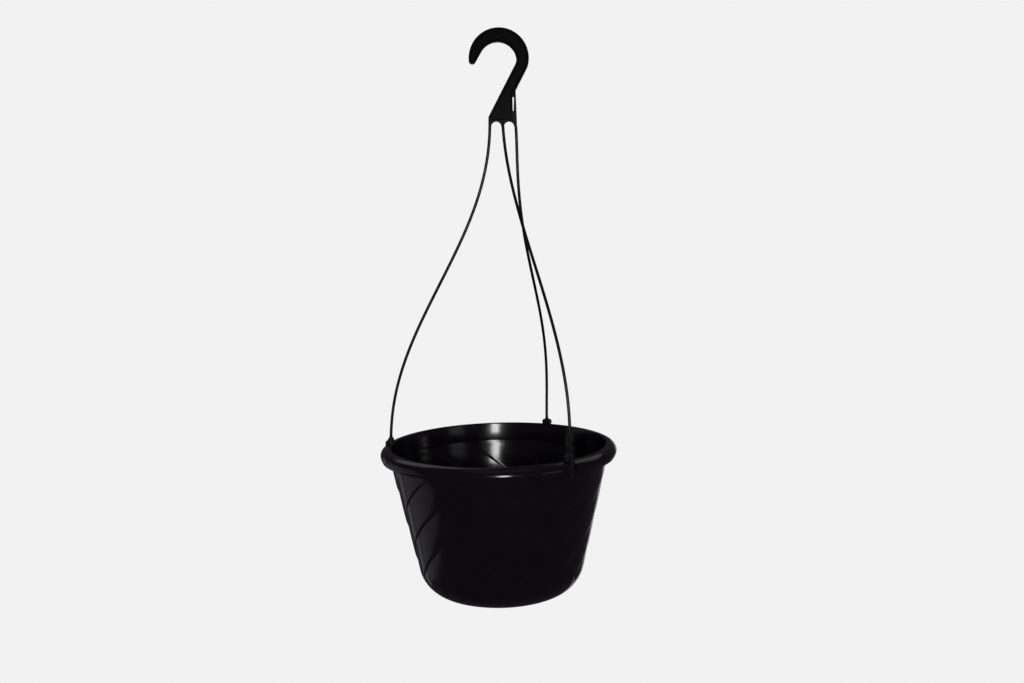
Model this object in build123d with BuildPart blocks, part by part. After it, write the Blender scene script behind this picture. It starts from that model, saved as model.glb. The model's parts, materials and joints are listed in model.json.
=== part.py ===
"""Hanging basket: a swirl-fluted plastic pot carried by a three-strand plastic hanger.

Millimetres. Z is up along the pot's axis and the origin is the middle of its underside, on the
plane of the foot ring. The hook and the row of strand roots lie in the XZ plane.
"""
from build123d import *
from math import atan, cos, degrees, hypot, radians, sin
import os

# Driving dimensions of the pot
POT_HEIGHT = 162.0
RIM_RADIUS = 127.0  # a ten inch pot is named by its rim
MOUTH_TOP_RADIUS = 115.6
MOUTH_FOOT_RADIUS = 113.1  # the plain band inside the mouth draws in to this
MOUTH_FOOT_Z = 143.4
SHOULDER_DROP = 1.2  # the band runs out to the wall over this height
WALL = 1.4
WALL_TOP_RADIUS = 115.85  # mean outer radius where the flutes end under the rim
WALL_TOP_Z = 146.0
WALL_FOOT_Z = 26.0  # the flutes die out here and the bottom corner begins
WALL_TAPER = 0.23  # radius lost for each millimetre of drop
FLUTES = 14
FLUTE_RELIEF = 0.7  # each side of the mean radius
FLUTE_FADED = 0.04  # what is left of it at the foot and the top
FOOT_FADE = 0.25  # share of the wall's height over which the flutes rise from the foot
TOP_FADE = 0.12
LEDGE = 0.12  # the plain rings stand this much proud of the faded flutes
FLUTE_TWIST = 0.685  # degrees for each millimetre of height
FLUTE_PHASE = -109.2  # angle of one crease at PHASE_Z
PHASE_Z = 134.0
FLUTE_LEVELS = 11
BASE_RISE = 2.0  # the base is this far up inside the ring that the pot stands on
BASE_RADIUS = 50.0
DRAIN_HOLES = 6
DRAIN_RADIUS = 4.0
DRAIN_CIRCLE = 40.0

# The rolled lip at the rim
LIP_WIDEST_Z = 154.0
LIP_END_RADIUS = 125.2
LIP_END_Z = 148.5
LIP_ROOT_Z = 147.5
SLOT_HALF_WIDTH = 3.2
SLOT_INNER_RADIUS = 117.3
SLOT_FLOOR_Z = 146.5
SLOT_OVERCUT = 1.0  # how far the slots' cutter runs out of the lip

# Driving dimensions of the hanger
CLIP_ANGLES = {"left": 172.5, "back": 61.8, "front": -53.0}
CLIP_RADIUS = 118.5  # where each strand comes down to the rim
CLIP_GAP = 0.3  # the wings ride this far above the rim
WING_HALF_WIDTH = 5.1
WING_HEIGHT = 5.0
WING_CHAMFER = 1.3
WING_INNER_RADIUS = 116.0
WING_OUTER_RADIUS = 121.6
COLLAR_HEIGHT = 2.4
COLLAR_RADIUS = 2.3
COLLAR_TAPER = 12.0
TONGUE_HALF_WIDTH = 2.4
TONGUE_INNER_RADIUS = 119.6
TONGUE_OUTER_RADIUS = 124.6
TONGUE_END_Z = 145.0
BARB_HALF_WIDTH = 3.0
BARB_HEIGHT = 2.5
BARB_SETBACK = 0.5  # the barbs are this much thinner than the tongue on each face
STRAND_DIAMETER = 2.9
STRAND_GAP = 0.3  # running clearance at both ends of a strand
ROOT_PITCH = 13.4
ROOT_COLUMNS = {"left": -1, "front": 0, "back": 1}
STEEPEST = 1.45  # steepest slope of a strand over its mean slope
END_LEANS = {"left": 0.0, "front": 5.0, "back": 6.0}  # degrees in towards the pot at the clip
ROOT_STUB = 20.0

# The hook, drawn in its own plane from the middle of the row of strand roots
HOOK_X = 13.4  # the strands set the hook this far to one side of the pot's axis
HOOK_Z = POT_HEIGHT + 341.2
HOOK_LEAN = 1.46
HOOK_THICKNESS = 6.4
OUTER_CENTRE = (-4.0, 64.5)
OUTER_RADIUS = 31.2
OUTER_STEM_ANGLE = -15.7  # where the outer arc turns into the stem
INNER_CENTRE = (-5.2, 61.4)
INNER_RADIUS = 19.6
INNER_STEM_ANGLE = -1.3
STEM_ANGLE = 27.5  # lean of the stem from the upright
STEM_FILLET = 16.0
TIP_ANGLE = 150.0  # where the inner arc ends and the straight run to the tip begins
TIP_RADIUS = 3.6
STEM_END_Z = 32.0
PANEL_DEPTH = 1.7
BORDER = 2.3
SLIT_X = 11.0
SLIT_WIDTH = 1.7
SLIT_LOW_Z = 10.8
SLIT_HIGH_Z = 25.2
SLIT_RIB = 1.2
FULL_THICKNESS_Z = 14.0  # the web thins from here down to the strand roots
HOOK_TOP_Z = 100.0

half_root = STRAND_DIAMETER / 2
arch_radius = (ROOT_PITCH - STRAND_DIAMETER) / 2
hook_plane = Plane(
    origin=(HOOK_X, 0, HOOK_Z),
    x_dir=(cos(radians(HOOK_LEAN)), 0, -sin(radians(HOOK_LEAN))),
    z_dir=(0, -1, 0),
)


def polar(radius, angle, centre=(0.0, 0.0)):
    """The point at that radius and angle in degrees from a centre."""
    return (centre[0] + radius * cos(radians(angle)), centre[1] + radius * sin(radians(angle)))


def wall_radius(z):
    """Mean outer radius of the wall at height z."""
    return WALL_TOP_RADIUS - WALL_TAPER * (WALL_TOP_Z - z)


def relief(level):
    """Flute depth at a level from 0 at the foot to 1 at the top: it fades out at both ends."""
    rise = min(1.0, level / FOOT_FADE, (1.0 - level) / TOP_FADE)
    return FLUTE_FADED + (FLUTE_RELIEF - FLUTE_FADED) * rise * rise * (3 - 2 * rise)


def fluted_rings(inset):
    """The wall's closed rings of arcs from the foot up, set in from the outer face."""
    step = 360 / FLUTES
    rings = []
    for count in range(FLUTE_LEVELS):
        level = count / (FLUTE_LEVELS - 1)
        z = WALL_FOOT_Z + level * (WALL_TOP_Z - WALL_FOOT_Z)
        radius = wall_radius(z) - inset
        depth = relief(level)
        turn = FLUTE_PHASE + FLUTE_TWIST * (z - PHASE_Z)
        with BuildSketch(Plane.XY.offset(z)) as ring:
            with BuildLine():
                for flute in range(FLUTES):
                    start = turn + flute * step
                    ThreePointArc(
                        polar(radius - depth, start),
                        polar(radius + depth, start + step / 2),
                        polar(radius - depth, start + step),
                    )
            make_face()
        rings.append(ring.sketch)
    return rings


# The pot: fluted wall, rounded base with a foot ring, and a rolled lip with three clip slots
taper_cos = cos(atan(WALL_TAPER))
taper_sin = sin(atan(WALL_TAPER))
skin = WALL / taper_cos  # wall thickness measured level
corner = WALL_FOOT_Z / (1 - taper_sin)
corner_r = wall_radius(WALL_FOOT_Z) - corner * taper_cos
foot_out = (wall_radius(WALL_FOOT_Z) + LEDGE, WALL_FOOT_Z)
foot_in = (wall_radius(WALL_FOOT_Z) - skin - LEDGE, WALL_FOOT_Z)
shoulder_z = MOUTH_FOOT_Z - SHOULDER_DROP
top_out = (WALL_TOP_RADIUS + LEDGE, WALL_TOP_Z)
top_mid = (WALL_TOP_RADIUS - skin / 2, WALL_TOP_Z)
lip_root = MOUTH_TOP_RADIUS + WALL

with BuildPart() as pot:
    loft(fluted_rings(0))
    loft(fluted_rings(skin), mode=Mode.SUBTRACT)
    with BuildSketch(Plane.XZ):
        with BuildLine():
            Polyline(
                (0, BASE_RISE + WALL),
                (0, BASE_RISE),
                (BASE_RADIUS, BASE_RISE),
                (BASE_RADIUS, 0),
                (corner_r, 0),
            )
            RadiusArc((corner_r, 0), foot_out, -corner)
            Line(foot_out, foot_in)
            RadiusArc(foot_in, (corner_r, WALL), corner - WALL)
            Polyline(
                (corner_r, WALL),
                (BASE_RADIUS + WALL, WALL),
                (BASE_RADIUS + WALL, BASE_RISE + WALL),
                (0, BASE_RISE + WALL),
            )
        make_face()
    revolve(axis=Axis.Z)
    with BuildSketch(Plane.XZ):
        with BuildLine():
            Polyline(
                (wall_radius(shoulder_z) - skin / 2, shoulder_z),
                top_mid,
                top_out,
                (lip_root, LIP_ROOT_Z),
                (lip_root, POT_HEIGHT - WALL),
            )
            Spline(
                (lip_root, POT_HEIGHT - WALL),
                (RIM_RADIUS - WALL, LIP_WIDEST_Z),
                tangents=[(1, 0), (0, -1)],
            )
            Polyline(
                (RIM_RADIUS - WALL, LIP_WIDEST_Z),
                (LIP_END_RADIUS - WALL, LIP_END_Z),
                (LIP_END_RADIUS, LIP_END_Z),
                (RIM_RADIUS, LIP_WIDEST_Z),
            )
            Spline(
                (RIM_RADIUS, LIP_WIDEST_Z),
                (lip_root, POT_HEIGHT),
                tangents=[(0, 1), (-1, 0)],
            )
            Polyline(
                (lip_root, POT_HEIGHT),
                (MOUTH_TOP_RADIUS, POT_HEIGHT - WALL),
                (MOUTH_FOOT_RADIUS, MOUTH_FOOT_Z),
                (wall_radius(shoulder_z) - skin / 2, shoulder_z),
            )
        make_face()
    revolve(axis=Axis.Z)
    for angle in CLIP_ANGLES.values():
        slot_plane = Plane((0, 0, SLOT_FLOOR_Z), x_dir=(*polar(1, angle), 0), z_dir=(0, 0, 1))
        with BuildSketch(slot_plane):
            with Locations((SLOT_INNER_RADIUS, 0)):
                Rectangle(
                    RIM_RADIUS + SLOT_OVERCUT - SLOT_INNER_RADIUS,
                    2 * SLOT_HALF_WIDTH,
                    align=(Align.MIN, Align.CENTER),
                )
        extrude(amount=POT_HEIGHT + SLOT_OVERCUT - SLOT_FLOOR_Z, mode=Mode.SUBTRACT)
    with Locations((0, 0, BASE_RISE + WALL)):
        with PolarLocations(DRAIN_CIRCLE, DRAIN_HOLES):
            Hole(DRAIN_RADIUS, depth=2 * WALL)


def make_clip(angle):
    """The end of one strand: wings on the rim, a collar round the strand and a barbed tongue."""
    radial = (*polar(1, angle), 0)
    wing_z = POT_HEIGHT + CLIP_GAP
    with BuildPart() as clip:
        with BuildSketch(Plane((0, 0, wing_z), x_dir=radial, z_dir=(0, 0, 1))):
            with Locations(((WING_INNER_RADIUS + WING_OUTER_RADIUS) / 2, 0)):
                Rectangle(WING_OUTER_RADIUS - WING_INNER_RADIUS, 2 * WING_HALF_WIDTH)
        extrude(amount=WING_HEIGHT)
        chamfer(clip.faces().sort_by(Axis.Z)[-1].edges(), length=WING_CHAMFER)
        with BuildSketch(Plane((0, 0, wing_z + WING_HEIGHT), x_dir=radial, z_dir=(0, 0, 1))):
            with Locations((CLIP_RADIUS, 0)):
                Circle(COLLAR_RADIUS)
        extrude(amount=COLLAR_HEIGHT, taper=COLLAR_TAPER)
        with BuildSketch(Plane((0, 0, TONGUE_END_Z), x_dir=radial, z_dir=(0, 0, 1))):
            with Locations(((TONGUE_INNER_RADIUS + TONGUE_OUTER_RADIUS) / 2, 0)):
                Rectangle(TONGUE_OUTER_RADIUS - TONGUE_INNER_RADIUS, 2 * TONGUE_HALF_WIDTH)
        extrude(amount=wing_z + WING_HEIGHT / 2 - TONGUE_END_Z)
        with BuildSketch(Plane((0, 0, TONGUE_END_Z), x_dir=radial, z_dir=(0, 0, 1))):
            with Locations(((TONGUE_INNER_RADIUS + TONGUE_OUTER_RADIUS) / 2, 0)):
                Rectangle(
                    TONGUE_OUTER_RADIUS - TONGUE_INNER_RADIUS - 2 * BARB_SETBACK, 2 * BARB_HALF_WIDTH
                )
        extrude(amount=BARB_HEIGHT)
    return clip


def make_strand(root, foot, end_lean):
    """A rod from the root down to the foot: straight in its middle, an arc at each end.

    It leaves the root straight down, and comes down on its clip leaning in by end_lean degrees.
    """
    reach = hypot(foot[0] - root[0], foot[1] - root[1])
    drop = root[2] - foot[2]
    slope = atan(STEEPEST * reach / drop)
    lean = radians(end_lean)
    arcs_out = 1 + cos(lean) - 2 * cos(slope)  # both arcs' reach, for a bend radius of 1
    arcs_down = 2 * sin(slope) + sin(lean)
    bend = (reach * cos(slope) - drop * sin(slope)) / (
        arcs_out * cos(slope) - arcs_down * sin(slope)
    )
    run = (reach - bend * arcs_out) / sin(slope)
    outward = Vector(foot[0] - root[0], foot[1] - root[1], 0).normalized()
    with BuildPart() as strand:
        with BuildLine(Plane(origin=root, x_dir=outward, z_dir=outward.cross(Vector(0, 0, 1)))):
            upper = JernArc((0, 0), (0, -1), bend, degrees(slope))
            middle = PolarLine(upper @ 1, run, direction=upper % 1)
            JernArc(middle @ 1, middle % 1, bend, -degrees(slope) - end_lean)
        with BuildSketch(Plane(origin=root, z_dir=(0, 0, -1))):
            Circle(half_root)
        sweep()
    print("strand bend radius", round(bend, 1), "straight run", round(run, 1))
    return strand


# The hanger's head: hook, stem and web as one outline with raised borders
stem_slope = sin(radians(STEM_ANGLE)) / cos(radians(STEM_ANGLE))  # sideways for each unit down
outer_foot = polar(OUTER_RADIUS, OUTER_STEM_ANGLE, OUTER_CENTRE)
inner_foot = polar(INNER_RADIUS, INNER_STEM_ANGLE, INNER_CENTRE)
stem_end = (outer_foot[0] - stem_slope * (outer_foot[1] - STEM_END_Z), STEM_END_Z)
tip_start = polar(INNER_RADIUS, TIP_ANGLE, INNER_CENTRE)
tip_left = OUTER_CENTRE[0] - OUTER_RADIUS
tip_lean = radians(180 - TIP_ANGLE)
tip_centre = (
    tip_left + TIP_RADIUS,
    tip_start[1] + (TIP_RADIUS + (tip_left + TIP_RADIUS - tip_start[0]) * cos(tip_lean)) / sin(tip_lean),
)
left_edge = -ROOT_PITCH - half_root
right_edge = ROOT_PITCH + half_root
web_corner = (left_edge, inner_foot[1] - (inner_foot[0] - left_edge) / stem_slope)

along = hook_plane.y_dir
side_plane = Plane(origin=hook_plane.origin, x_dir=(0, 1, 0), z_dir=hook_plane.x_dir)

with BuildPart() as head:
    with BuildSketch(hook_plane) as outline:
        with BuildLine():
            Line((tip_left, tip_centre[1]), (tip_left, OUTER_CENTRE[1]))
            ThreePointArc(
                (tip_left, OUTER_CENTRE[1]), polar(OUTER_RADIUS, 90, OUTER_CENTRE), outer_foot
            )
            Polyline(outer_foot, stem_end, (right_edge, 0), (right_edge, -arch_radius))
            for side in (1, 0):
                near = side * ROOT_PITCH - half_root
                far = near - 2 * arch_radius
                Line((near + STRAND_DIAMETER, -arch_radius), (near, -arch_radius))
                ThreePointArc((near, -arch_radius), (near - arch_radius, 0), (far, -arch_radius))
            Polyline(
                (left_edge + STRAND_DIAMETER, -arch_radius),
                (left_edge, -arch_radius),
                web_corner,
                inner_foot,
            )
            ThreePointArc(inner_foot, polar(INNER_RADIUS, 90, INNER_CENTRE), tip_start)
            tip_end = polar(TIP_RADIUS, TIP_ANGLE - 180, tip_centre)
            Line(tip_start, tip_end)
            ThreePointArc(
                tip_end, polar(TIP_RADIUS, (TIP_ANGLE - 360) / 2, tip_centre), (tip_left, tip_centre[1])
            )
        make_face()
        for turn in (outer_foot, inner_foot):
            fillet(outline.vertices().sort_by_distance((*turn, 0))[0], radius=STEM_FILLET)
    extrude(amount=HOOK_THICKNESS / 2, both=True)
    for side in (1, -1):
        with BuildSketch(hook_plane.offset(side * HOOK_THICKNESS / 2)):
            add(outline.sketch_local)
            offset(amount=-BORDER)
            with Locations((SLIT_X, (SLIT_LOW_Z + SLIT_HIGH_Z) / 2)):
                SlotOverall(
                    SLIT_HIGH_Z - SLIT_LOW_Z + 2 * SLIT_RIB,
                    SLIT_WIDTH + 2 * SLIT_RIB,
                    rotation=90,
                    mode=Mode.SUBTRACT,
                )
        extrude(amount=-side * PANEL_DEPTH, mode=Mode.SUBTRACT)
    with BuildSketch(hook_plane):
        with Locations((SLIT_X, (SLIT_LOW_Z + SLIT_HIGH_Z) / 2)):
            SlotOverall(SLIT_HIGH_Z - SLIT_LOW_Z, SLIT_WIDTH, rotation=90)
    extrude(amount=HOOK_THICKNESS, both=True, mode=Mode.SUBTRACT)
    with BuildSketch(side_plane):
        with BuildLine():
            Polyline(
                (-half_root, -arch_radius),
                (half_root, -arch_radius),
                (HOOK_THICKNESS / 2, FULL_THICKNESS_Z),
                (HOOK_THICKNESS / 2, HOOK_TOP_Z),
                (-HOOK_THICKNESS / 2, HOOK_TOP_Z),
                (-HOOK_THICKNESS / 2, FULL_THICKNESS_Z),
                close=True,
            )
        make_face()
    extrude(amount=HOOK_TOP_Z, both=True, mode=Mode.INTERSECT)

parting = Plane(origin=hook_plane.from_local_coords((0, STEM_END_Z, 0)), z_dir=along)
with BuildPart() as hook:
    add(head.part)
    split(bisect_by=parting, keep=Keep.TOP)

root_plane = Plane(
    origin=hook_plane.from_local_coords((0, -arch_radius, 0)), x_dir=hook_plane.x_dir, z_dir=-along
)
with BuildPart() as web:
    add(head.part)
    split(bisect_by=parting, keep=Keep.BOTTOM)
    with BuildSketch(root_plane):
        with GridLocations(ROOT_PITCH, 0, 3, 1):
            Circle(half_root)
    extrude(amount=ROOT_STUB)

pieces = {"pot": pot, "hook": hook, "web": web}
collar_top = POT_HEIGHT + CLIP_GAP + WING_HEIGHT + COLLAR_HEIGHT
for name, column in ROOT_COLUMNS.items():
    stub_end = hook_plane.from_local_coords((column * ROOT_PITCH, -arch_radius - ROOT_STUB, 0))
    root = (stub_end.X, stub_end.Y, stub_end.Z - STRAND_GAP)
    foot = (*polar(CLIP_RADIUS, CLIP_ANGLES[name]), collar_top + STRAND_GAP)
    pieces[f"strand_{name}"] = make_strand(root, foot, END_LEANS[name])
    pieces[f"clip_{name}"] = make_clip(CLIP_ANGLES[name])

os.makedirs("parts", exist_ok=True)
for name, piece in pieces.items():
    piece.part.label = name
    export_step(piece.part, f"parts/{name}.step")
    print(name, piece.part.is_valid, round(piece.part.volume, 1))
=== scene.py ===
"""Looks for the hanging basket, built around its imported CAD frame.

Z is up along the pot's axis. Shapes are worked out in millimetres and scaled by MM when a mesh
is made. Angles go round Z in degrees from +X.
"""

import json
import math

import bmesh
import bpy
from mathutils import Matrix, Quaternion, Vector


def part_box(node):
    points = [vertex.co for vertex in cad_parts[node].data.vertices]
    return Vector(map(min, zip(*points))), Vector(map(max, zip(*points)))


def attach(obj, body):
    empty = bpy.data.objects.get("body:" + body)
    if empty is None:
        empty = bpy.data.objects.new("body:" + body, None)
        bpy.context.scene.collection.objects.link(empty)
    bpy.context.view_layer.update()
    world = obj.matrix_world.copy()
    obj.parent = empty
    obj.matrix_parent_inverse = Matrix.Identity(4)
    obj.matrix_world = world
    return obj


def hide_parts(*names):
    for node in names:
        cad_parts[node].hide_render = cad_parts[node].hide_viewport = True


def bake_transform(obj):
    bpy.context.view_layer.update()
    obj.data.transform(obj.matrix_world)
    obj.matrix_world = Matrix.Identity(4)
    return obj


MM = 0.001

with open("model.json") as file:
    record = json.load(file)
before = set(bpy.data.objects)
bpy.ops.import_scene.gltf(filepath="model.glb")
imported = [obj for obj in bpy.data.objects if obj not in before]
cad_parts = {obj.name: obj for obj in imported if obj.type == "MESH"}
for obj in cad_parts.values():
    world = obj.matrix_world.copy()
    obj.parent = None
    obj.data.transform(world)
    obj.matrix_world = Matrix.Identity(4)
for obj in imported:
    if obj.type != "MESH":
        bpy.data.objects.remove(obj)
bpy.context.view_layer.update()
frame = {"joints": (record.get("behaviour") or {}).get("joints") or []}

# Places that the frame gives, in millimetres
pot_low, pot_high = (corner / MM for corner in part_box("pot"))
RIM_RADIUS = (pot_high.x - pot_low.x) / 2
POT_HEIGHT = pot_high.z
joints = {joint["name"]: joint for joint in frame["joints"]}
TILT_POINT = Vector(joints["hook_tilt"]["pos_m"]) / MM
ACROSS = Vector(joints["hook_tilt"]["axis"]).normalized()
UPWARD = ACROSS.cross(Vector((0, 1, 0)))

# The pot's wall
WALL = 1.4
WALL_TOP_RADIUS = RIM_RADIUS - 10.75
WALL_TOP_Z = POT_HEIGHT - 16
WALL_FOOT_Z = 26.0
TAPER = 0.23
BASE_RISE = 2.0
BASE_RADIUS = 50.0
FLUTES = 14
FLUTE_COLUMNS = 20
FLUTE_GATHER = 0.86  # how far the mesh columns gather at the creases
FLUTE_RELIEF = 0.55
STEP_SHARE = 0.07  # share of a flute taken by the step in at its crease
FLUTE_TWIST = 0.685  # degrees for each millimetre of height
FLUTE_PHASE = -109.2  # angle of one crease at PHASE_Z
PHASE_Z = 134.0
INSIDE_TURN = 8.5  # the flutes inside sit this many degrees further round
INSIDE_TURN_RINGS = 12
# Heights over which the flutes fade in at the foot, out at the top, and out on the inside
FADE_LOW = (12.0, 34.0)
FADE_HIGH = (POT_HEIGHT - 36.0, POT_HEIGHT - 15.6)
FADE_INSIDE = (POT_HEIGHT - 56.0, POT_HEIGHT - 26.0)
RING_PITCH = 2.4  # height of the mesh rows up the wall

# The lip, the mouth and the foot
LIP_HEIGHT = 8.0
LIP_ROOT_RADIUS = RIM_RADIUS - 10.2
LIP_ROOT_Z = WALL_TOP_Z + 1.5
LIP_END = (RIM_RADIUS - 1.8, POT_HEIGHT - 13.5)
LIP_CURL = 1.6  # how late the lip's skirt turns in
LIP_NOSE = (-0.2, -0.55)  # the rounded end of the skirt, from the middle of its thickness
LIP_TURN = 0.6  # share of the skirt over which its thickness turns to face along it
LIP_STEPS = 14
SLOT_ROOT_RADIUS = RIM_RADIUS - 9.7
SLOT_HALF_WIDTH = 3.2
MOUTH_TOP_RADIUS = RIM_RADIUS - 11.3
MOUTH_FOOT_RADIUS = RIM_RADIUS - 13.9
SHOULDER_Z = POT_HEIGHT - 18.6
SHOULDER_DROP = 1.2
SHOULDER_END_Z = SHOULDER_Z - 4.0
SHOULDER_ROUND = 0.5
CORNER_ROUND = 0.4
LIP_FLAT = 0.3
LIP_ROUND = 1.3  # radius of the turn from the lip's top into the mouth
STEP_ROUND = 0.6  # radius of the corners between the base and the foot ring
DISC_RADII = (3.0, 8.0, 14.0, 20.0, 26.0, 31.0)  # the base's mesh rings inside the drain holes
DRAIN_CIRCLE = 40.0
DRAIN_RADIUS = 4.0
DRAIN_HOLES = 6
DRAIN_SIDES = 40
DRAIN_PATCH = 6.5  # half width of the mesh ring that the drain holes are cut in

# The hanger
STRAND_RADIUS = 1.5
ROOT_DROP = 25.25  # from the tops of the arches to the tilt axis
ROOT_PITCH = 13.4
ARCH_RADIUS = (ROOT_PITCH - 2 * STRAND_RADIUS) / 2
NECK_BELOW = 22.0  # the rods end and the necks begin this far under the tilt axis
HOOK_HALF = 3.2
OUTER_CENTRE = Vector((-4.0, 64.5))
OUTER_RADIUS = 31.2
OUTER_STEM_ANGLE = -15.7
INNER_CENTRE = Vector((-5.2, 61.4))
INNER_RADIUS = 19.6
INNER_STEM_ANGLE = -1.3
STEM_ANGLE = 27.5
STEM_END_Z = 32.0
TURN_REACH = 3.5  # how far the bends into the stem run each way
TIP_ANGLE = 150.0
TIP_RADIUS = 3.6
BORDER = 2.3
PANEL_HALF = 1.5
EDGE_ROUND = 0.55
SLIT_ROUND = 0.3
PANEL_ROUND = 0.5
FLOOR_ROUND = 0.25  # the bevel where the panel's wall meets its floor
FLOOR_INSET = 0.6
PANEL_TOP_Z = STEM_END_Z - 3.5  # the panel's straight right side ends here
HEAD_PITCH = 1.3  # the spacing of points along the head's outlines
SLIT_ACROSS = 11.0
SLIT_LOW = (10.8, 0.42)  # height of the slit's end and half its width there
SLIT_HIGH = (25.4, 0.78)
PANEL_RIGHT = 8.6
WEB_THIN_Z = 14.0  # the web thins from about here down to the roots
THIN_MARGIN = 4.0

# The strands: column of the root row, slopes as they leave the root and reach the clip, how far
# they bow to one side, and how far they swing one way in their upper half and back in their lower
STRANDS = {
    "left": (-1, -0.023, 0.053, -0.007, Vector((0.327, 0))),
    "front": (0, 0.022, -0.163, 0.064, Vector((-0.047, 0))),
    "back": (1, 0.056, -0.008, -0.06, Vector((-0.662, -1.15))),
}
STRAND_STEPS = 150
ROD_SIDES = 24
FLASH = 0.045  # how far the flash line stands out, as a share of the rod's radius
NECK_TUCK = 1.5  # how far the necks reach up into the web
NECK_TIP = 0.8  # the neck's lower end is this share of the rod that it is tucked in
COLLAR_RADIUS = RIM_RADIUS - 8.5
COLLAR_Z = POT_HEIGHT + 6.0

# Camera and studio
TARGET = Vector((17.3, 0.0, 271.9))  # in millimetres, as is DISTANCE
DISTANCE = 1198.0
ELEVATION = 6.66
ROLL = -1.46
LENS = 39.43
SENSOR = 36.0
STAGE_RADIUS = 8.0  # in metres
PALE = 0.8879  # the tone of the floor and surround


def smooth(low, high, value):
    """0 below low, 1 above high, and a smooth rise between."""
    t = min(1.0, max(0.0, (value - low) / (high - low)))
    return t * t * (3 - 2 * t)


def ring_point(radius, angle, z=0.0):
    """The point at that radius and angle round Z."""
    turn = math.radians(angle)
    return Vector((radius * math.cos(turn), radius * math.sin(turn), z))


def arc(centre, radius, start, end, pitch=1.2):
    """Points on an arc in a plane, from one angle to another, no further apart than pitch."""
    count = max(3, math.ceil(abs(math.radians(end - start)) * radius / pitch))
    angles = [start + (end - start) * i / count for i in range(count + 1)]
    return [Vector(centre) + ring_point(radius, angle).xy for angle in angles]


def bend(start, corner, end, steps=5):
    """A curve from start to end that leaves and arrives along the lines through the corner."""
    return [
        start * (1 - t) ** 2 + corner * 2 * t * (1 - t) + end * t**2
        for t in (i / steps for i in range(steps + 1))
    ]


def fillet(before, corner, after, radius, steps=5):
    """Points that round a corner of a profile."""
    before, corner, after = Vector(before), Vector(corner), Vector(after)
    into = (corner - before).normalized()
    out = (after - corner).normalized()
    reach = radius * math.tan(into.angle(out) / 2)
    return bend(corner - into * reach, corner, corner + out * reach, steps)


def rounded(points, radius):
    """An open profile with its inner corners rounded."""
    made = [Vector(points[0])]
    for before, corner, after in zip(points, points[1:], points[2:]):
        made += fillet(before, corner, after, radius)
    return made + [Vector(points[-1])]


def spaced(points, pitch, closed=False):
    """The same line with extra points on its long straights."""
    made = []
    ends = points[1:] + (points[:1] if closed else [])
    for start, end in zip(points, ends):
        steps = max(1, math.ceil((end - start).length / pitch))
        made += [start.lerp(end, i / steps) for i in range(steps)]
    return made if closed else made + [points[-1]]


def add_piece(name, bm, material, sharp=38.0):
    """Makes a smooth-shaded object from a mesh in millimetres."""
    bmesh.ops.recalc_face_normals(bm, faces=bm.faces)
    bmesh.ops.scale(bm, vec=(MM, MM, MM), verts=bm.verts)
    mesh = bpy.data.meshes.new(name)
    bm.to_mesh(mesh)
    bm.free()
    mesh.shade_smooth()
    mesh.set_sharp_from_angle(angle=math.radians(sharp))
    mesh.materials.append(material)
    piece = bpy.data.objects.new(name, mesh)
    bpy.context.scene.collection.objects.link(piece)
    return piece


def even_normals(piece):
    """Keeps flat faces flat beside their rounded edges."""
    modifier = piece.modifiers.new("even_normals", "WEIGHTED_NORMAL")
    modifier.keep_sharp = True


def join_loops(bm, loops, closed=True):
    """Quads between each closed loop of vertices and the next."""
    for lower, upper in zip(loops, loops[1:]):
        count = len(lower)
        for i in range(count if closed else count - 1):
            j = (i + 1) % count
            bm.faces.new((lower[i], lower[j], upper[j], upper[i]))


# Materials


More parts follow.
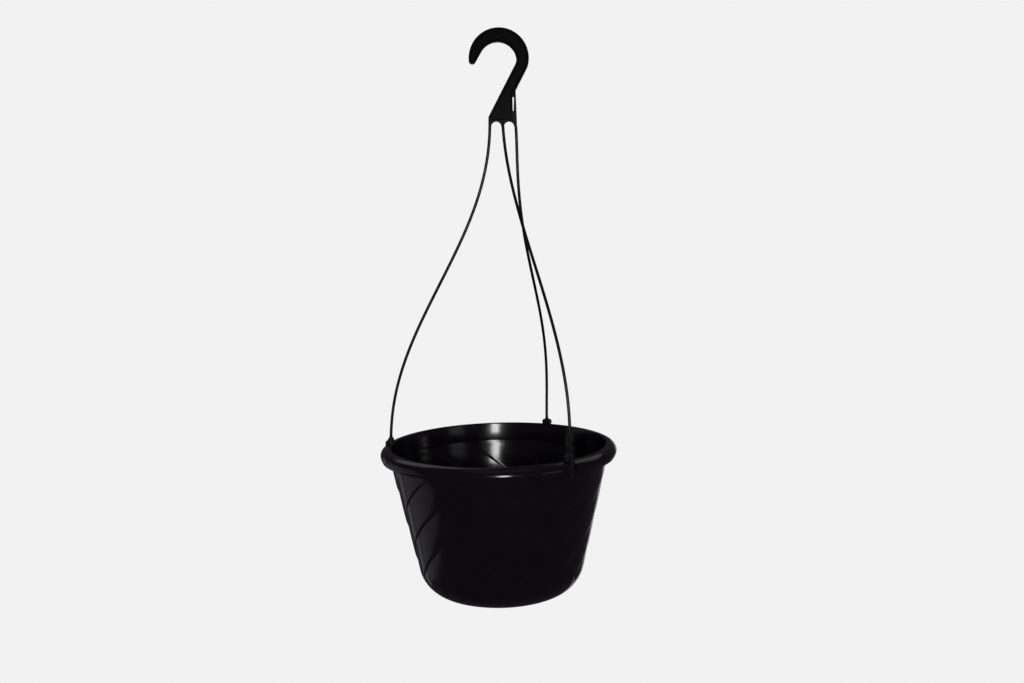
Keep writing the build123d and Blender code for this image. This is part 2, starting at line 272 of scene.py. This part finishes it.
def plastic(name, colour, roughness, spread, mottle, grain, grain_depth, shine=0.5, tooling=0.0):
    """Black moulded plastic.

    Its roughness wanders between roughness and roughness + spread over patches of about mottle mm.
    The bump is a grain of that size in mm, and tooling adds the faint rings of a turned mould.
    """
    material = bpy.data.materials.new(name)
    material.use_nodes = True
    nodes = material.node_tree.nodes
    link = material.node_tree.links.new
    shader = nodes["Principled BSDF"]
    shader.inputs["IOR"].default_value = 1.49
    shader.inputs["Specular IOR Level"].default_value = shine
    place = nodes.new("ShaderNodeTexCoord")

    patches = nodes.new("ShaderNodeTexNoise")
    patches.inputs["Scale"].default_value = 1 / (mottle * MM)
    patches.inputs["Detail"].default_value = 6
    patches.inputs["Roughness"].default_value = 0.62
    link(place.outputs["Object"], patches.inputs["Vector"])
    spread_map = nodes.new("ShaderNodeMapRange")
    spread_map.inputs["From Min"].default_value = 0.35
    spread_map.inputs["From Max"].default_value = 0.68
    spread_map.inputs["To Min"].default_value = roughness
    spread_map.inputs["To Max"].default_value = roughness + spread
    link(patches.outputs["Fac"], spread_map.inputs["Value"])

    scuffs = nodes.new("ShaderNodeTexNoise")  # stretched along Z into fine handling marks
    scuffs.inputs["Scale"].default_value = 420
    scuffs.inputs["Detail"].default_value = 3
    scuffs.inputs["Distortion"].default_value = 1.2
    stretch = nodes.new("ShaderNodeMapping")
    stretch.inputs["Scale"].default_value = (1.0, 1.0, 0.16)
    stretch.inputs["Rotation"].default_value = (0.35, 0.2, 0.0)
    link(place.outputs["Object"], stretch.inputs["Vector"])
    link(stretch.outputs["Vector"], scuffs.inputs["Vector"])
    marks = nodes.new("ShaderNodeMapRange")
    marks.inputs["From Min"].default_value = 0.62
    marks.inputs["From Max"].default_value = 0.8
    marks.inputs["To Max"].default_value = 0.12
    link(scuffs.outputs["Fac"], marks.inputs["Value"])
    total = nodes.new("ShaderNodeMath")
    total.operation = "ADD"
    link(spread_map.outputs["Result"], total.inputs[0])
    link(marks.outputs["Result"], total.inputs[1])
    link(total.outputs["Value"], shader.inputs["Roughness"])

    tint = nodes.new("ShaderNodeValToRGB")  # pigment a little uneven, paler in the rougher mottle patches
    tint.color_ramp.elements[0].position = 0.3
    tint.color_ramp.elements[0].color = (*[c * 0.75 for c in colour], 1)
    tint.color_ramp.elements[1].position = 0.72
    tint.color_ramp.elements[1].color = (*[c * 1.35 for c in colour], 1)
    link(patches.outputs["Fac"], tint.inputs["Fac"])
    link(tint.outputs["Color"], shader.inputs["Base Color"])

    skin = nodes.new("ShaderNodeTexNoise")
    skin.inputs["Scale"].default_value = 1 / (grain * MM)
    skin.inputs["Detail"].default_value = 4
    link(place.outputs["Object"], skin.inputs["Vector"])
    relief = nodes.new("ShaderNodeBump")
    relief.inputs["Distance"].default_value = grain_depth * MM
    relief.inputs["Strength"].default_value = 1.0
    link(skin.outputs["Fac"], relief.inputs["Height"])
    if tooling:
        rings = nodes.new("ShaderNodeTexWave")
        rings.bands_direction = "Z"
        rings.inputs["Scale"].default_value = 95
        rings.inputs["Distortion"].default_value = 2.5
        rings.inputs["Detail"].default_value = 3
        link(place.outputs["Object"], rings.inputs["Vector"])
        turned = nodes.new("ShaderNodeBump")
        turned.inputs["Distance"].default_value = tooling * MM
        turned.inputs["Strength"].default_value = 1.0
        link(rings.outputs["Fac"], turned.inputs["Height"])
        link(turned.outputs["Normal"], relief.inputs["Normal"])
    link(relief.outputs["Normal"], shader.inputs["Normal"])
    return material


pot_plastic = plastic(
    "pot_plastic",
    colour=(0.007, 0.0052, 0.0075),
    roughness=0.12,
    spread=0.06,
    mottle=22,
    grain=2.6,
    grain_depth=0.01,
    tooling=0.002,
)
hanger_plastic = plastic(
    "hanger_plastic",
    colour=(0.0042, 0.003, 0.0044),
    roughness=0.34,
    spread=0.1,
    mottle=9,
    grain=0.5,
    grain_depth=0.02,
    shine=0.06,
)
strand_plastic = plastic(
    "strand_plastic",
    colour=(0.0045, 0.0038, 0.0048),
    roughness=0.32,
    spread=0.1,
    mottle=12,
    grain=0.6,
    grain_depth=0.01,
)
clip_plastic = plastic(
    "clip_plastic",
    colour=(0.006, 0.0052, 0.0062),
    roughness=0.42,
    spread=0.12,
    mottle=6,
    grain=0.5,
    grain_depth=0.02,
)


# The pot


def wall_radius(z):
    return WALL_TOP_RADIUS - TAPER * (WALL_TOP_Z - z)


def flute(share):
    """Height of the flute section, from -1 to 1, as share goes from one crease to the next."""
    bulge_end = 1 - STEP_SHARE
    if share < bulge_end:
        return 2 * math.sin(math.pi / 2 * share / bulge_end) - 1
    return 1 - 2 * smooth(bulge_end, 1, share)


def flute_depth(z, fade=FADE_HIGH):
    return FLUTE_RELIEF * smooth(*FADE_LOW, z) * (1 - smooth(*fade, z))


def wall_profile():
    """The wall's mean outer line from the base to the top, as (r, z, outward r, outward z)."""
    slope = math.atan(TAPER)
    corner = WALL_FOOT_Z / (1 - math.sin(slope))
    middle_r = wall_radius(WALL_FOOT_Z) - corner * math.cos(slope)
    middle = Vector((middle_r, WALL_FOOT_Z + corner * math.sin(slope)))
    line = []
    for point in arc(middle, corner, -90, -math.degrees(slope), RING_PITCH):
        out = (point - middle).normalized()
        line.append((point.x, point.y, out.x, out.y))
    rings = math.ceil((WALL_TOP_Z - WALL_FOOT_Z) / RING_PITCH)
    for i in range(1, rings + 1):
        z = WALL_FOOT_Z + (WALL_TOP_Z - WALL_FOOT_Z) * i / rings
        line.append((wall_radius(z), z, math.cos(slope), -math.sin(slope)))
    return line


def lip_profile():
    """The lip's outer line from its root over the top and down to its end.

    Each of its points is (r, z, outward r, outward z).
    """
    middle = Vector((LIP_ROOT_RADIUS, POT_HEIGHT - LIP_HEIGHT))
    reach = RIM_RADIUS - LIP_ROOT_RADIUS
    first = math.degrees(math.acos((SLOT_ROOT_RADIUS - LIP_ROOT_RADIUS) / reach))
    line = []
    for i in range(LIP_STEPS + 1):
        angle = math.radians(first * (1 - i / LIP_STEPS))
        across, rise = math.cos(angle), math.sin(angle)
        out = Vector((across / reach, rise / LIP_HEIGHT)).normalized()
        line.append((middle.x + reach * across, middle.y + LIP_HEIGHT * rise, *out))
    down = Vector(LIP_END) - Vector((RIM_RADIUS, middle.y))
    out = Vector((-down.y, down.x)).normalized()
    for share in (0.25, 0.5, 0.75, 1.0):
        away = Vector((1, 0)).lerp(out, smooth(0, LIP_TURN, share)).normalized()
        line.append((RIM_RADIUS + down.x * share**LIP_CURL, middle.y + down.y * share, *away))
    return line


def plain_rings(points):
    """Rings that the flutes don't touch, as (r, z, flute r, flute z)."""
    return [(*point, 0.0, 0.0) for point in points]


def base_rings(wall_foot, height, corner_shift):
    """The base's rings on one skin, from the middle out to the wall's foot."""
    radii = (*DISC_RADII, DRAIN_CIRCLE - DRAIN_PATCH, DRAIN_CIRCLE + DRAIN_PATCH)
    disc = [(r, height) for r in radii]
    ring_r = BASE_RADIUS + corner_shift
    step = [disc[-1], (ring_r, height), (ring_r, corner_shift), (wall_foot[0], corner_shift)]
    return plain_rings(disc + rounded(step, STEP_ROUND)[1:-1])


def mouth_rings():
    """The rings of the plain band inside the mouth, from the lip's top down to its shoulder."""
    skin = WALL / math.cos(math.atan(TAPER))
    corners = [
        (LIP_ROOT_RADIUS + LIP_FLAT, POT_HEIGHT),
        (MOUTH_TOP_RADIUS, POT_HEIGHT),
        (MOUTH_FOOT_RADIUS, SHOULDER_Z),
        (wall_radius(SHOULDER_Z - SHOULDER_DROP) - skin, SHOULDER_Z - SHOULDER_DROP),
        (wall_radius(SHOULDER_END_Z) - skin, SHOULDER_END_Z),
    ]
    top = fillet(*corners[:3], LIP_ROUND)
    shoulder = fillet(*corners[1:4], CORNER_ROUND, 3) + fillet(*corners[2:5], SHOULDER_ROUND, 3)
    return plain_rings(top + shoulder)


def pot_rings():
    """Every ring of the pot, from the middle of its underside round to the middle of its floor.

    Each is (r, z, flute r, flute z), where the last two are how far a whole flute moves it.
    Also gives the indices of the four rings where the lip's slots begin and end.
    """
    wall = wall_profile()
    lip = lip_profile()
    rings = base_rings(wall[0], BASE_RISE, 0.0)
    for r, z, out_r, out_z in wall:
        depth = flute_depth(z)
        rings.append((r, z, out_r * depth, out_z * depth))
    under = [(r - WALL * out_r, z - WALL * out_z) for r, z, out_r, out_z in lip]
    band = [
        wall[-1][:2],
        (LIP_ROOT_RADIUS, LIP_ROOT_Z),
        (LIP_ROOT_RADIUS, POT_HEIGHT - WALL),
        under[0],
    ]
    rings += plain_rings(rounded(band, CORNER_ROUND)[1:-1])
    under_root = len(rings)
    rings += plain_rings(under)
    under_end = len(rings) - 1
    rings += plain_rings([(Vector(under[-1]) + Vector(lip[-1][:2])) / 2 + Vector(LIP_NOSE)])
    outer_end = len(rings)
    rings += plain_rings(point[:2] for point in reversed(lip))
    outer_root = len(rings) - 1
    rings += mouth_rings()
    for r, z, out_r, out_z in reversed(wall):
        if z < SHOULDER_END_Z - 1:
            depth = flute_depth(z, FADE_INSIDE)
            rings.append((r - WALL * out_r, z - WALL * out_z, out_r * depth, out_z * depth))
    rings += reversed(base_rings(wall[0], BASE_RISE + WALL, WALL))
    return rings, (under_root, under_end, outer_end, outer_root)


def column_places():
    """Where each mesh column falls: the flute it is in, and its share of the way across.

    The columns are gathered towards the creases.
    """
    places = []
    for i in range(FLUTES * FLUTE_COLUMNS):
        turn, u = divmod(i / FLUTE_COLUMNS, 1)
        places.append((turn, u - FLUTE_GATHER * math.sin(2 * math.pi * u) / (2 * math.pi)))
    return places


def column_angle(place, z):
    """Angle of a mesh column at a height: it turns with the flutes all the way up the wall."""
    turn, share = place
    level = min(max(z, WALL_FOOT_Z), WALL_TOP_Z)
    return FLUTE_PHASE + FLUTE_TWIST * (level - PHASE_Z) + (turn + share) * (360 / FLUTES)


def clip_angle(name):
    low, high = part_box(f"clip_{name}")
    middle = (low + high) / 2
    return math.degrees(math.atan2(middle.y, middle.x))


def slot_columns(places):
    """Each slot's middle angle and the two mesh columns that become its sides."""
    slots = []
    half = math.degrees(SLOT_HALF_WIDTH / RIM_RADIUS)
    for name in STRANDS:
        middle = clip_angle(name)
        pair = []
        for side in (-1, 1):
            gaps = [
                abs((column_angle(place, POT_HEIGHT) - middle - side * half + 180) % 360 - 180)
                for place in places
            ]
            pair.append(gaps.index(min(gaps)))
        slots.append((middle, *pair))
    return slots


def pot_loops(bm, rings, lip_rings, places, slots):
    """Vertices of every ring. In the lip, each slot's two columns run straight along its sides."""
    under_root, outer_root = lip_rings[0], lip_rings[-1]
    sides = {first: (middle, -1) for middle, first, last in slots}
    sides |= {last: (middle, 1) for middle, first, last in slots}
    loops = []
    for index, (r, z, flute_r, flute_z) in enumerate(rings):
        loop = []
        for column, place in enumerate(places):
            rise = flute(place[1])
            radius = r + rise * flute_r
            angle = column_angle(place, z)
            if index > outer_root:
                angle += INSIDE_TURN * smooth(0, INSIDE_TURN_RINGS, index - outer_root)
            if column in sides and under_root <= index <= outer_root:
                middle, side = sides[column]
                angle = middle + side * math.degrees(math.asin(SLOT_HALF_WIDTH / radius))
            loop.append(bm.verts.new(ring_point(radius, angle, z + rise * flute_z)))
        loops.append(loop)
    return loops


def cut_slot(bm, loops, lip_rings, first, last):
    """Opens a slot through both skins of the lip, and closes its two sides and its root."""
    under_root, under_end, outer_end, outer_root = lip_rings
    count = len(loops[0])
    inside = [(first + i) % count for i in range((last - first) % count + 1)]
    doomed_faces = set()
    for lower, upper in zip(loops[under_root:outer_root], loops[under_root + 1 :]):
        for a, b in zip(inside, inside[1:]):
            corners = {lower[a], lower[b], upper[a], upper[b]}
            doomed_faces |= {face for face in lower[a].link_faces if corners == set(face.verts)}
    bmesh.ops.delete(bm, geom=list(doomed_faces), context="FACES_ONLY")
    doomed = [loop[c] for loop in loops[under_root + 1 : outer_root] for c in inside[1:-1]]
    bmesh.ops.delete(bm, geom=[v for v in doomed if not v.link_faces], context="VERTS")
    for column in (first, last):
        for i in range(under_end - under_root):
            under = (loops[under_root + i][column], loops[under_root + i + 1][column])
            outer = (loops[outer_root - i - 1][column], loops[outer_root - i][column])
            bm.faces.new((*under, *outer))
        bm.faces.new([loops[i][column] for i in range(under_end, outer_end + 1)])
    under, outer = loops[under_root], loops[outer_root]
    for a, b in zip(inside, inside[1:]):
        bm.faces.new((under[a], under[b], outer[b], outer[a]))


def cut_drain(bm, centre):
    """Opens a round drain hole in both skins of the base and joins them inside it."""
    rims = []
    for z in (BASE_RISE, BASE_RISE + WALL):
        patch = []
        for face in bm.faces:
            offset = face.calc_center_median() - centre
            if abs(offset.z - z) < 0.01 and offset.xy.length < DRAIN_PATCH + 0.1:
                patch.append(face)
        border = [edge for face in patch for edge in face.edges]
        border = [edge for edge in set(border) if border.count(edge) == 1]
        bmesh.ops.delete(bm, geom=patch, context="FACES")
        angles = [i * 360 / DRAIN_SIDES for i in range(DRAIN_SIDES)]
        circle = [bm.verts.new(centre + ring_point(DRAIN_RADIUS, angle, z)) for angle in angles]
        border += [bm.edges.new((circle[i - 1], circle[i])) for i in range(DRAIN_SIDES)]
        bmesh.ops.triangle_fill(bm, use_beauty=True, edges=border)
        rims.append(circle)
    join_loops(bm, rims)


def build_pot():
    """The pot as one closed skin whose columns follow the flutes."""
    rings, lip_rings = pot_rings()
    places = column_places()
    slots = slot_columns(places)
    bm = bmesh.new()
    loops = pot_loops(bm, rings, lip_rings, places, slots)
    join_loops(bm, loops)
    bm.faces.new(loops[0])
    bm.faces.new(loops[-1])
    for _, first, last in slots:
        cut_slot(bm, loops, lip_rings, first, last)
    for hole in range(DRAIN_HOLES):
        cut_drain(bm, ring_point(DRAIN_CIRCLE, hole * 360 / DRAIN_HOLES))
    bmesh.ops.delete(bm, geom=[e for e in bm.edges if not e.link_faces], context="EDGES")
    pot = add_piece("pot_shell", bm, pot_plastic)
    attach(pot, "pot")
    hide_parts("pot")


# The hanger's head


def head_point(across, up, out=0.0):
    """A point of the head: across and up in the hook's own plane, out towards the viewer."""
    origin = TILT_POINT + UPWARD * ROOT_DROP
    return origin + ACROSS * across + UPWARD * up + Vector((0, -out, 0))


def shifted(points, amount):
    """A closed outline moved in by that amount, its corners kept square."""
    made = []
    for before, point, after in zip(points[-1:] + points[:-1], points, points[1:] + points[:1]):
        into = (point - before).normalized()
        out = (after - point).normalized()
        side = Vector((-into.y, into.x)) + Vector((-out.y, out.x))
        made.append(point + side * (amount / (side.length_squared / 2)))
    return made


def hook_line():
    """The head's outline from the stem's right foot, round the tip, to the web's left corner."""
    slope = math.tan(math.radians(STEM_ANGLE))
    side = ROOT_PITCH + STRAND_RADIUS
    down = Vector((-slope, -1)).normalized()
    outer_turn, inner_turn = (
        Vector(centre) + ring_point(radius, angle).xy
        for centre, radius, angle in (
            (OUTER_CENTRE, OUTER_RADIUS, OUTER_STEM_ANGLE),
            (INNER_CENTRE, INNER_RADIUS, INNER_STEM_ANGLE),
        )
    )
    stem_end = Vector((outer_turn.x - slope * (outer_turn.y - STEM_END_Z), STEM_END_Z))
    web_corner = Vector((-side, inner_turn.y - (inner_turn.x + side) / slope))
    outer_start = OUTER_STEM_ANGLE + math.degrees(TURN_REACH / OUTER_RADIUS)
    inner_end = INNER_STEM_ANGLE + math.degrees(TURN_REACH / INNER_RADIUS)
    outer = arc(OUTER_CENTRE, OUTER_RADIUS, outer_start, 180)
    inner = arc(INNER_CENTRE, INNER_RADIUS, TIP_ANGLE, inner_end)
    lean = math.radians(180 - TIP_ANGLE)
    tip_x = outer[-1].x + TIP_RADIUS
    rise = (TIP_RADIUS + (tip_x - inner[0].x) * math.cos(lean)) / math.sin(lean)
    tip = arc((tip_x, inner[0].y + rise), TIP_RADIUS, 180, TIP_ANGLE + 180, 0.7)
    return (
        [stem_end]
        + bend(outer_turn + down * TURN_REACH, outer_turn, outer[0])[:-1]
        + outer
        + tip
        + inner[:-1]
        + bend(inner[-1], inner_turn, inner_turn + down * TURN_REACH)
        + [web_corner]
    )


def half_thickness(up):
    """Half the head's thickness: the web thins down to its roots."""
    full = smooth(-ARCH_RADIUS - THIN_MARGIN, WEB_THIN_Z + THIN_MARGIN, up)
    return STRAND_RADIUS + (HOOK_HALF - STRAND_RADIUS) * full


def head_outline(hook):
    """The whole head's outline: the hook's line, and the two arches between the strand roots."""
    side = ROOT_PITCH + STRAND_RADIUS
    feet = []
    for middle in (-ROOT_PITCH / 2, ROOT_PITCH / 2):
        feet.append(Vector((middle - ARCH_RADIUS, -ARCH_RADIUS)))
        feet += arc((middle, -ARCH_RADIUS), ARCH_RADIUS, 180, 0, 0.6)[1:-1]
        feet.append(Vector((middle + ARCH_RADIUS, -ARCH_RADIUS)))
    right = [Vector((side, -ARCH_RADIUS)), Vector((side, 0))]
    return spaced(right + hook + [Vector((-side, -ARCH_RADIUS))] + feet, HEAD_PITCH, closed=True)


def panel_outline(hook):
    """The sunk panel's outline, which leaves the border and the slit's surround standing."""
    side = ROOT_PITCH + STRAND_RADIUS
    inner = shifted([Vector((side, 0))] + hook + [Vector((-side, 0))], BORDER)[1:]
    right = [Vector((PANEL_RIGHT, BORDER)), Vector((PANEL_RIGHT, PANEL_TOP_Z))]
    return spaced(right + inner, HEAD_PITCH, closed=True)


def slit_outline():
    """The narrow slit by the web's right edge, its two ends round."""
    (low, low_half), (high, high_half) = SLIT_LOW, SLIT_HIGH
    slit = arc((SLIT_ACROSS, high - high_half), high_half, 0, 180, 0.3)
    slit += arc((SLIT_ACROSS, low + low_half), low_half, 180, 360, 0.3)
    return spaced(slit, HEAD_PITCH, closed=True)


def face_loop(bm, points, inset, sink, front, floor=False):
    """A loop of vertices on one face of the head, its outline moved in by inset.

    It is sunk that far under the border's face, or under the panel's floor.
    """
    loop = []
    for point in shifted(points, inset):
        height = PANEL_HALF if floor else half_thickness(point.y)
        loop.append(bm.verts.new(head_point(point.x, point.y, front * (height - sink))))
    return loop


def build_head():
    """Hook, stem and web as one moulding: a raised border with rounded edges and a sunk panel."""
    hook = spaced(hook_line(), HEAD_PITCH)
    outline, panel, slit = head_outline(hook), panel_outline(hook), slit_outline()
    bm = bmesh.new()
    turns = [math.radians(angle) for angle in (0, 22.5, 45, 67.5, 90)]
    rounding = [(1 - math.cos(turn), 1 - math.sin(turn)) for turn in turns]
    edge_loops = []
    slit_loops = []
    for front in (-1, 1):
        outer = [
            face_loop(bm, outline, inset * EDGE_ROUND, sink * EDGE_ROUND, front)
            for inset, sink in rounding
        ]
        rim = [
            face_loop(bm, slit, -inset * SLIT_ROUND, sink * SLIT_ROUND, front)
            for inset, sink in rounding
        ]
        inner = [
            face_loop(bm, panel, -PANEL_ROUND * (1 - share), PANEL_ROUND * share**2, front)
            for share in (0, 0.33, 0.67, 1)
        ]
        inner.append(face_loop(bm, panel, FLOOR_ROUND, -FLOOR_ROUND, front, floor=True))
        inner.append(face_loop(bm, panel, FLOOR_INSET, 0, front, floor=True))
        for loops in (outer, rim, inner):
            join_loops(bm, loops)
        flat = []
        for loop in (outer[-1], rim[-1], inner[0]):
            flat += [bm.edges.get((loop[i - 1], loop[i])) for i in range(len(loop))]
        bmesh.ops.triangle_fill(bm, use_beauty=True, edges=flat)
        bm.faces.new(inner[-1])
        edge_loops.append(outer[0])
        slit_loops.append(rim[0])
    join_loops(bm, edge_loops)
    join_loops(bm, slit_loops)
    head = add_piece("hanger_head", bm, hanger_plastic, 50)
    even_normals(head)
    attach(head, "head")
    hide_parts("hook", "web")


# The strands


def strand_point(name, t):
    """The middle of a strand, from its root between the arches (0) down to its clip (1)."""
    column, leave, arrive, bow, swing = STRANDS[name]
    root = head_point(column * ROOT_PITCH, 0)
    foot = ring_point(COLLAR_RADIUS, clip_angle(name), COLLAR_Z)
    drop = root.z - foot.z
    over = (foot - root).xy
    flat = root.xy + over * (3 * t**2 - 2 * t**3)
    flat += over.normalized() * (drop * arrive * (t**3 - t**2))
    flat += swing * (drop * (1 - 2 * t) * (t - t**2) ** 2)
    flat.x += drop * (leave * (t - 2 * t**2 + t**3) + bow * (t - t**2) ** 2)
    return Vector((*flat, root.z - drop * t))


def tube(name, points, radii, material):
    """A round rod along points, with the faint flash line of its mould on both sides."""
    bm = bmesh.new()
    loops = []
    for i, (point, radius) in enumerate(zip(points, radii)):
        ahead = (points[min(i + 1, len(points) - 1)] - points[max(i - 1, 0)]).normalized()
        across = (ACROSS - ahead * ACROSS.dot(ahead)).normalized()
        other = ahead.cross(across)
        loop = []
        for k in range(ROD_SIDES):
            turn = 2 * math.pi * k / ROD_SIDES
            size = radius * (1 + FLASH * abs(math.cos(turn)) ** 40)
            away = across * size * math.cos(turn) + other * size * math.sin(turn)
            loop.append(bm.verts.new(point + away))
        loops.append(loop)
    join_loops(bm, loops)
    bm.faces.new(loops[0])
    bm.faces.new(loops[-1])
    return add_piece(name, bm, material, 60)


def build_strand(name):
    """One strand in two pieces: the long winding rod, and the short neck that runs up into the
    web.
    """
    points = [strand_point(name, i / STRAND_STEPS) for i in range(STRAND_STEPS + 1)]
    split_z = TILT_POINT.z - NECK_BELOW
    rod_line = [p for p in points if p.z < split_z]
    neck_top_z = TILT_POINT.z + ROOT_DROP - ARCH_RADIUS + NECK_TUCK
    neck_line = [p for p in points if rod_line[0].z < p.z < neck_top_z]
    neck_line += rod_line[:2]  # its end is a little thinner and tucked inside the rod
    rod = tube(f"strand_{name}_rod", rod_line, [STRAND_RADIUS] * len(rod_line), strand_plastic)
    radii = [STRAND_RADIUS] * (len(neck_line) - 1) + [STRAND_RADIUS * NECK_TIP]
    neck = tube(f"strand_{name}_neck", neck_line, radii, strand_plastic)
    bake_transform(rod)
    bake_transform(neck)
    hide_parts(f"strand_{name}")


# The clips


def section(inward, half_deep, half_wide, power, rise, angle):
    """A closed loop round a clip, placed from the rim's outside and top.

    It is a rounded rectangle whose corners get squarer as power rises.
    """
    loop = []
    radial = ring_point(1, angle)
    sideways = ring_point(1, angle + 90)
    for k in range(32):
        turn = 2 * math.pi * (k + 0.5) / 32
        c, s = math.cos(turn), math.sin(turn)
        deep = half_deep * math.copysign(abs(c) ** (2 / power), c)
        wide = half_wide * math.copysign(abs(s) ** (2 / power), s)
        level = Vector((0, 0, POT_HEIGHT + rise))
        loop.append(radial * (RIM_RADIUS + inward + deep) + sideways * wide + level)
    return loop


def lofted(bm, sections):
    loops = [[bm.verts.new(p) for p in points] for points in sections]
    join_loops(bm, loops)
    bm.faces.new(loops[0])
    bm.faces.new(loops[-1])


def build_clip(name):
    """Wings on the rim with a collar round the strand, and the tongue down through the slot."""
    angle = clip_angle(name)
    bm = bmesh.new()
    wings = [
        (-8.2, 2.5, 4.7, 8, 0.1),
        (-8.2, 2.8, 5.05, 8, 0.4),
        (-8.2, 2.8, 5.1, 8, 3.5),
        (-8.2, 2.7, 4.9, 7, 4.4),
        (-8.3, 2.45, 4.2, 6, 5.0),
        (-8.4, 2.3, 3.1, 4, 5.3),
        (-8.5, 2.15, 2.3, 2.4, 5.8),
        (-8.5, 2.0, 2.0, 2, 6.6),
        (-8.5, 1.75, 1.75, 2, 7.4),
        (-8.5, 1.5, 1.5, 2, 7.7),
    ]
    lofted(bm, [section(m, d, w, p, z, angle) for m, d, w, p, z in wings])
    tongue = [
        (-5.0, 1.6, 1.4, 4, -17.0),
        (-5.0, 2.0, 2.2, 6, -16.4),
        (-4.9, 2.1, 2.95, 6, -14.9),
        (-4.9, 2.1, 2.95, 6, -14.4),
        (-4.9, 2.3, 2.4, 6, -13.9),
        (-4.8, 2.4, 2.4, 8, -12.0),
        (-4.8, 2.4, 2.4, 8, -1.0),
        (-5.0, 2.4, 2.4, 8, 1.4),
        (-5.6, 2.2, 2.4, 8, 2.4),
        (-6.4, 1.6, 2.2, 6, 2.9),
    ]
    lofted(bm, [section(m, d, w, p, z, angle) for m, d, w, p, z in tongue])
    clip = add_piece(f"clip_{name}_moulding", bm, clip_plastic, 45)
    even_normals(clip)
    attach(clip, "rim_clips")
    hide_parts(f"clip_{name}")


# Studio and camera


def emitter(name, colour, strength):
    material = bpy.data.materials.new(name)
    material.use_nodes = True
    nodes = material.node_tree.nodes
    nodes.clear()
    output = nodes.new("ShaderNodeOutputMaterial")
    glow = nodes.new("ShaderNodeEmission")
    glow.inputs["Color"].default_value = (*colour, 1)
    glow.inputs["Strength"].default_value = strength
    material.node_tree.links.new(glow.outputs["Emission"], output.inputs["Surface"])
    return material


def build_stage():
    """A pale floor and a pale surround of one tone, seen by the camera and not in reflections."""
    bm = bmesh.new()
    bmesh.ops.create_icosphere(bm, subdivisions=4, radius=STAGE_RADIUS)
    mesh = bpy.data.meshes.new("surround")
    bm.to_mesh(mesh)
    bm.free()
    mesh.materials.append(emitter("surround_pale", (PALE, PALE, PALE), 1.0))
    surround = bpy.data.objects.new("surround", mesh)
    bm = bmesh.new()
    bmesh.ops.create_circle(bm, cap_ends=True, segments=128, radius=STAGE_RADIUS - 0.1)
    mesh = bpy.data.meshes.new("floor")
    bm.to_mesh(mesh)
    bm.free()
    floor = bpy.data.objects.new("floor", mesh)
    floor.location.z = -0.2 * MM
    material = bpy.data.materials.new("floor_pale")
    material.use_nodes = True
    shader = material.node_tree.nodes["Principled BSDF"]
    shader.inputs["Base Color"].default_value = (0.0, 0.0, 0.0, 1)
    shader.inputs["Roughness"].default_value = 1.0
    shader.inputs["Specular IOR Level"].default_value = 0.0
    shader.inputs["Emission Color"].default_value = (PALE, PALE, PALE, 1)
    shader.inputs["Emission Strength"].default_value = 1.0
    mesh.materials.append(material)
    for stage in (surround, floor):
        bpy.context.scene.collection.objects.link(stage)
        stage.visible_diffuse = False
        stage.visible_glossy = False
        stage.visible_shadow = False


def light(name, azimuth, elevation, distance, width, height, strength):
    """A soft panel that faces the pot, its sizes and distance in metres.

    Azimuth 0 is the viewer's side, and it grows to the viewer's right.
    """
    aim = Vector((0, 0, 100)) * MM
    a, e = math.radians(azimuth), math.radians(elevation)
    away = Vector((math.sin(a) * math.cos(e), -math.cos(a) * math.cos(e), math.sin(e)))
    data = bpy.data.lights.new(name, "AREA")
    data.shape = "RECTANGLE"
    data.size = width
    data.size_y = height
    data.energy = strength * width * height * math.pi
    lamp = bpy.data.objects.new(name, data)
    lamp.location = aim + away * distance
    lamp.rotation_mode = "QUATERNION"
    lamp.rotation_quaternion = away.to_track_quat("Z", "Y")
    lamp.visible_camera = False
    bpy.context.scene.collection.objects.link(lamp)


def build_lights():
    world = bpy.data.worlds.new("dim_room")
    world.use_nodes = True
    world.node_tree.nodes["Background"].inputs["Color"].default_value = (0.045, 0.038, 0.048, 1)
    bpy.context.scene.world = world
    light("key_strip", 4.5, 12.5, 1.1, 0.165, 0.37, 20.0)
    light("right_window", 50, 8, 2.2, 0.65, 0.5, 0.45)
    light("left_wall", -105, -10, 1.8, 1.5, 1.4, 0.14)
    light("left_strip", -138, -15, 1.8, 0.3, 1.2, 0.2)
    light("right_strip", 160, -15, 1.8, 0.4, 1.2, 0.6)
    light("rear_left", -150, 42, 2.2, 1.3, 0.9, 0.4)
    light("rear_right", 138, 42, 2.2, 1.3, 0.9, 0.36)
    light("rear_fill", 180, -16, 1.4, 0.5, 0.4, 5.5)
    light("overhead", 0, 86, 2.4, 1.6, 1.6, 0.08)


def build_camera():
    data = bpy.data.cameras.new("camera")
    data.sensor_width = SENSOR
    data.lens = LENS
    data.clip_end = 50
    camera = bpy.data.objects.new("camera", data)
    tilt = math.radians(ELEVATION)
    back = Vector((0, -math.cos(tilt), math.sin(tilt)))
    camera.location = (TARGET + back * DISTANCE) * MM
    camera.rotation_mode = "QUATERNION"
    level = (-back).to_track_quat("-Z", "Y")
    camera.rotation_quaternion = level @ Quaternion((0, 0, 1), math.radians(ROLL))
    bpy.context.scene.collection.objects.link(camera)
    bpy.context.scene.camera = camera


build_pot()
build_head()
for strand in STRANDS:
    build_strand(strand)
    build_clip(strand)
build_stage()
build_lights()
build_camera()
bpy.context.scene.view_settings.view_transform = "Standard"
